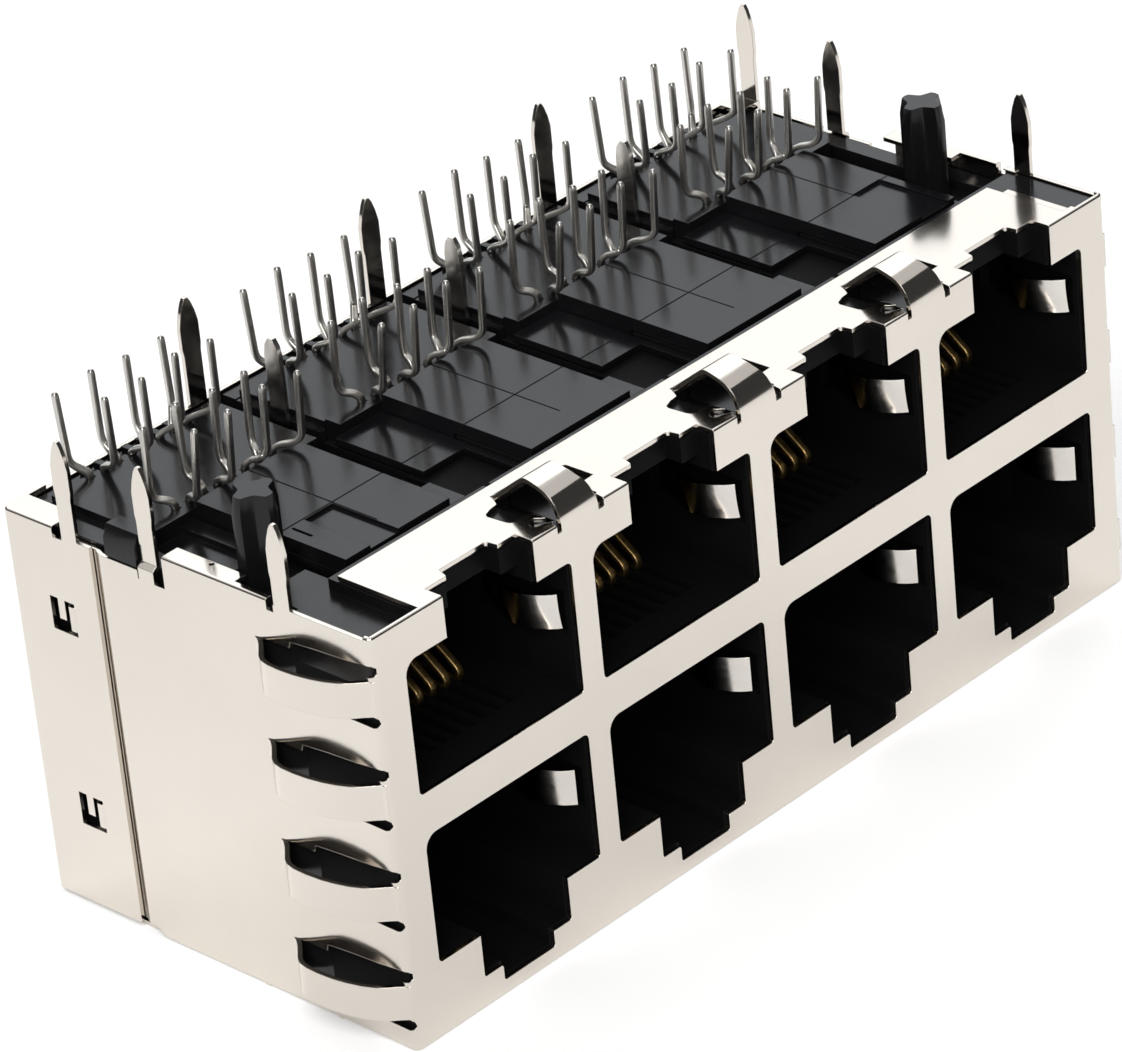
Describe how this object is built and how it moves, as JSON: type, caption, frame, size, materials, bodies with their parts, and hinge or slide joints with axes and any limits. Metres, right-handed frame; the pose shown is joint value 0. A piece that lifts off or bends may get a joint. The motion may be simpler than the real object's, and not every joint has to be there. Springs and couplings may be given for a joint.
{
  "type": "stacked rj45 board jack",
  "caption": "Shielded two-row modular jack block for a circuit board, with metal shield, spring fingers, solder tails and bent contact pins on the board side.",
  "frame": {"origin": "middle of the footprint, on the flat cover that the jack stands on", "axes": "+X across the four columns, -Y out of the ports, +Z towards the circuit board side"},
  "size_m": [0.0622, 0.0272, 0.03],
  "materials": {
    "shield_plate": "bright nickel-plated sheet",
    "housing_plastic": "fine satin black moulding",
    "carrier_plastic": "satin black moulding",
    "contact_metal": "gilded contact end, tinned pin end",
    "spring_plate": "plated spring sheet"
  },
  "bodies": {
    "root": {"front_shield": "shield_plate", "rear_shield": "shield_plate", "housing": "housing_plastic", "end_spring_plate": "spring_plate", "upper_carrier_1": "carrier_plastic", "lower_carrier_1": "carrier_plastic", "lead_retainer_1": "carrier_plastic", "upper_contacts_1": "contact_metal", "lower_contacts_1": "contact_metal", "upper_carrier_2": "carrier_plastic", "lower_carrier_2": "carrier_plastic", "lead_retainer_2": "carrier_plastic", "upper_contacts_2": "contact_metal", "lower_contacts_2": "contact_metal", "upper_carrier_3": "carrier_plastic", "lower_carrier_3": "carrier_plastic", "lead_retainer_3": "carrier_plastic", "upper_contacts_3": "contact_metal", "lower_contacts_3": "contact_metal", "upper_carrier_4": "carrier_plastic", "lower_carrier_4": "carrier_plastic", "lead_retainer_4": "carrier_plastic", "upper_contacts_4": "contact_metal", "lower_contacts_4": "contact_metal", "divider_plate_1": "spring_plate", "divider_plate_2": "spring_plate", "divider_plate_3": "spring_plate"}
  },
  "joints": []
}
